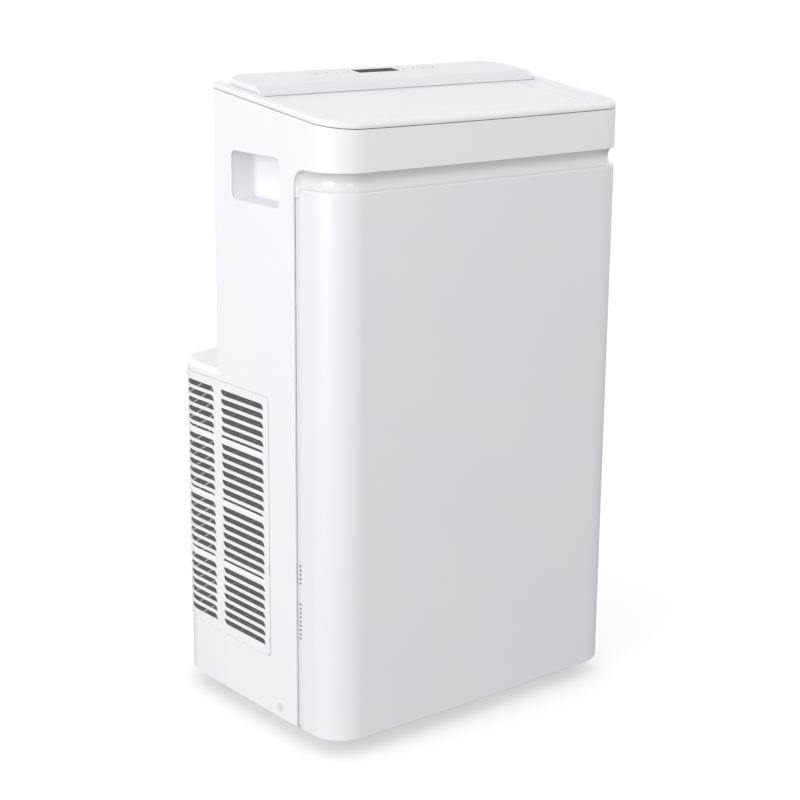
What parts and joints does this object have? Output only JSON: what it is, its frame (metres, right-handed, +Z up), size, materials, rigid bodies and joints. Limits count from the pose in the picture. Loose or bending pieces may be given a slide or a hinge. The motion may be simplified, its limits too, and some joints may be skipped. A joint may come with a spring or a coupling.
{
  "type": "portable air conditioner",
  "caption": "Free-standing portable air conditioner on swivel casters, with a top outlet flap, side intake grilles and a rear exhaust collar.",
  "frame": {"origin": "on the floor, under the centre of the bounding box", "axes": "+Z up; the front faces -Y; +X is on the right of someone who looks at the front"},
  "size_m": [0.4456, 0.3308, 0.7567],
  "materials": {
    "casing_white": "satin moulded ABS, clean white",
    "panel_white": "satin moulded ABS with a faint cool tint",
    "channel_gloss": "polished",
    "button_white": "fine matt",
    "display_black": "smoked window",
    "inner_grey": "plain moulded",
    "dark_plastic": "plain moulded",
    "filter_mesh": "woven screen",
    "sheet_steel": "galvanised",
    "fin_aluminium": "finned",
    "black_paint": "gloss enamel",
    "copper": "drawn copper tube",
    "tyre_grey": "hard caster tread"
  },
  "bodies": {
    "cabinet": {"wrap_shell": "casing_white", "top_deck": "casing_white", "rear_panel": "casing_white", "rear_cowl": "casing_white", "side_strip_left": "casing_white", "side_strip_right": "casing_white", "hand_hold_left": "casing_white", "hand_hold_right": "casing_white", "exhaust_collar": "casing_white", "front_panel": "panel_white", "control_panel": "panel_white", "channel_trim": "channel_gloss", "display_window": "display_black", "outlet_duct": "inner_grey", "drip_tray": "inner_grey", "evaporator_blower_housing": "inner_grey", "condenser_blower_housing": "inner_grey", "base_pan": "sheet_steel", "evaporator_blower_motor": "sheet_steel", "condenser_blower_motor": "sheet_steel", "flap_motor": "sheet_steel", "evaporator_coil": "fin_aluminium", "condenser_coil": "fin_aluminium", "compressor": "black_paint", "accumulator": "black_paint", "suction_pipe": "copper", "discharge_pipe": "copper", "electronics_box": "dark_plastic", "cord_gland": "dark_plastic"},
    "outlet_flap": {"outlet_flap": "casing_white"},
    "guide_vane_1": {"guide_vane_1": "inner_grey"},
    "guide_vane_2": {"guide_vane_2": "inner_grey"},
    "guide_vane_3": {"guide_vane_3": "inner_grey"},
    "guide_vane_4": {"guide_vane_4": "inner_grey"},
    "guide_vane_5": {"guide_vane_5": "inner_grey"},
    "button_timer": {"button_timer": "button_white"},
    "button_sleep": {"button_sleep": "button_white"},
    "button_down": {"button_down": "button_white"},
    "button_up": {"button_up": "button_white"},
    "button_fan": {"button_fan": "button_white"},
    "button_mode": {"button_mode": "button_white"},
    "button_swing": {"button_swing": "button_white"},
    "button_power": {"button_power": "button_white"},
    "evaporator_fan": {"evaporator_blower_wheel": "dark_plastic"},
    "condenser_fan": {"condenser_blower_wheel": "dark_plastic"},
    "intake_left": {"intake_grille_left": "casing_white", "intake_filter_left": "filter_mesh"},
    "intake_right": {"intake_grille_right": "casing_white", "intake_filter_right": "filter_mesh"},
    "rear_door": {"rear_intake_door": "casing_white", "rear_filter": "filter_mesh"},
    "drain_plug": {"drain_plug": "button_white"},
    "caster_front_left": {"caster_fork_front_left": "inner_grey"},
    "wheel_front_left": {"caster_wheel_front_left": "tyre_grey"},
    "caster_front_right": {"caster_fork_front_right": "inner_grey"},
    "wheel_front_right": {"caster_wheel_front_right": "tyre_grey"},
    "caster_rear_left": {"caster_fork_rear_left": "inner_grey"},
    "wheel_rear_left": {"caster_wheel_rear_left": "tyre_grey"},
    "caster_rear_right": {"caster_fork_rear_right": "inner_grey"},
    "wheel_rear_right": {"caster_wheel_rear_right": "tyre_grey"}
  },
  "joints": [
    {"name": "flap_hinge", "type": "hinge", "parent": "cabinet", "child": "outlet_flap", "pos_m": [0, -0.0124, 0.73598], "axis": [-1, 0, 0], "range_deg": [0, 70]},
    {"name": "vane_1_pivot", "type": "hinge", "parent": "cabinet", "child": "guide_vane_1", "pos_m": [-0.124, 0, 0.68883], "axis": [0, 1, 0], "range_deg": [-35, 35]},
    {"name": "vane_2_pivot", "type": "hinge", "parent": "cabinet", "child": "guide_vane_2", "pos_m": [-0.062, 0, 0.68883], "axis": [0, 1, 0], "range_deg": [-35, 35]},
    {"name": "vane_3_pivot", "type": "hinge", "parent": "cabinet", "child": "guide_vane_3", "pos_m": [0, 0, 0.68883], "axis": [0, 1, 0], "range_deg": [-35, 35]},
    {"name": "vane_4_pivot", "type": "hinge", "parent": "cabinet", "child": "guide_vane_4", "pos_m": [0.062, 0, 0.68883], "axis": [0, 1, 0], "range_deg": [-35, 35]},
    {"name": "vane_5_pivot", "type": "hinge", "parent": "cabinet", "child": "guide_vane_5", "pos_m": [0.124, 0, 0.68883], "axis": [0, 1, 0], "range_deg": [-35, 35]},
    {"name": "button_timer_press", "type": "slide", "parent": "cabinet", "child": "button_timer", "axis": [0, 0.1167, -0.9932], "range_m": [0, 0.0008], "stiffness_N_per_m": 600},
    {"name": "button_sleep_press", "type": "slide", "parent": "cabinet", "child": "button_sleep", "axis": [0, 0.1167, -0.9932], "range_m": [0, 0.0008], "stiffness_N_per_m": 600},
    {"name": "button_down_press", "type": "slide", "parent": "cabinet", "child": "button_down", "axis": [0, 0.1167, -0.9932], "range_m": [0, 0.0008], "stiffness_N_per_m": 600},
    {"name": "button_up_press", "type": "slide", "parent": "cabinet", "child": "button_up", "axis": [0, 0.1167, -0.9932], "range_m": [0, 0.0008], "stiffness_N_per_m": 600},
    {"name": "button_fan_press", "type": "slide", "parent": "cabinet", "child": "button_fan", "axis": [0, 0.1167, -0.9932], "range_m": [0, 0.0008], "stiffness_N_per_m": 600},
    {"name": "button_mode_press", "type": "slide", "parent": "cabinet", "child": "button_mode", "axis": [0, 0.1167, -0.9932], "range_m": [0, 0.0008], "stiffness_N_per_m": 600},
    {"name": "button_swing_press", "type": "slide", "parent": "cabinet", "child": "button_swing", "axis": [0, 0.1167, -0.9932], "range_m": [0, 0.0008], "stiffness_N_per_m": 600},
    {"name": "button_power_press", "type": "slide", "parent": "cabinet", "child": "button_power", "axis": [0, 0.1167, -0.9932], "range_m": [0, 0.0008], "stiffness_N_per_m": 600},
    {"name": "evaporator_fan_spin", "type": "hinge", "parent": "cabinet", "child": "evaporator_fan", "pos_m": [0, -0.0714, 0.535], "axis": [0, 1, 0], "continuous": true},
    {"name": "condenser_fan_spin", "type": "hinge", "parent": "cabinet", "child": "condenser_fan", "pos_m": [-0.035, 0.0486, 0.21], "axis": [0, 1, 0], "continuous": true},
    {"name": "intake_left_unclip", "type": "slide", "parent": "cabinet", "child": "intake_left", "axis": [-1, 0, 0], "range_m": [0, 0.03]},
    {"name": "intake_right_unclip", "type": "slide", "parent": "cabinet", "child": "intake_right", "axis": [1, 0, 0], "range_m": [0, 0.03]},
    {"name": "rear_door_tilt", "type": "hinge", "parent": "cabinet", "child": "rear_door", "pos_m": [0, 0.06885, 0.61125], "axis": [-1, 0, 0], "range_deg": [0, 60]},
    {"name": "drain_plug_pull", "type": "slide", "parent": "cabinet", "child": "drain_plug", "axis": [-1, 0, 0], "range_m": [0, 0.012]},
    {"name": "caster_front_left_swivel", "type": "hinge", "parent": "cabinet", "child": "caster_front_left", "pos_m": [-0.172, -0.1134, 0.045], "axis": [0, 0, 1], "continuous": true},
    {"name": "wheel_front_left_roll", "type": "hinge", "parent": "caster_front_left", "child": "wheel_front_left", "pos_m": [-0.172, -0.1014, 0.02], "axis": [1, 0, 0], "continuous": true},
    {"name": "caster_front_right_swivel", "type": "hinge", "parent": "cabinet", "child": "caster_front_right", "pos_m": [0.172, -0.1134, 0.045], "axis": [0, 0, 1], "continuous": true},
    {"name": "wheel_front_right_roll", "type": "hinge", "parent": "caster_front_right", "child": "wheel_front_right", "pos_m": [0.172, -0.1014, 0.02], "axis": [1, 0, 0], "continuous": true},
    {"name": "caster_rear_left_swivel", "type": "hinge", "parent": "cabinet", "child": "caster_rear_left", "pos_m": [-0.172, 0.1066, 0.045], "axis": [0, 0, 1], "continuous": true},
    {"name": "wheel_rear_left_roll", "type": "hinge", "parent": "caster_rear_left", "child": "wheel_rear_left", "pos_m": [-0.172, 0.1186, 0.02], "axis": [1, 0, 0], "continuous": true},
    {"name": "caster_rear_right_swivel", "type": "hinge", "parent": "cabinet", "child": "caster_rear_right", "pos_m": [0.172, 0.1066, 0.045], "axis": [0, 0, 1], "continuous": true},
    {"name": "wheel_rear_right_roll", "type": "hinge", "parent": "caster_rear_right", "child": "wheel_rear_right", "pos_m": [0.172, 0.1186, 0.02], "axis": [1, 0, 0], "continuous": true}
  ],
  "couplings": [
    {"joint": "vane_2_pivot", "follows": "vane_1_pivot", "ratio": 1},
    {"joint": "vane_3_pivot", "follows": "vane_1_pivot", "ratio": 1},
    {"joint": "vane_4_pivot", "follows": "vane_1_pivot", "ratio": 1},
    {"joint": "vane_5_pivot", "follows": "vane_1_pivot", "ratio": 1}
  ]
}
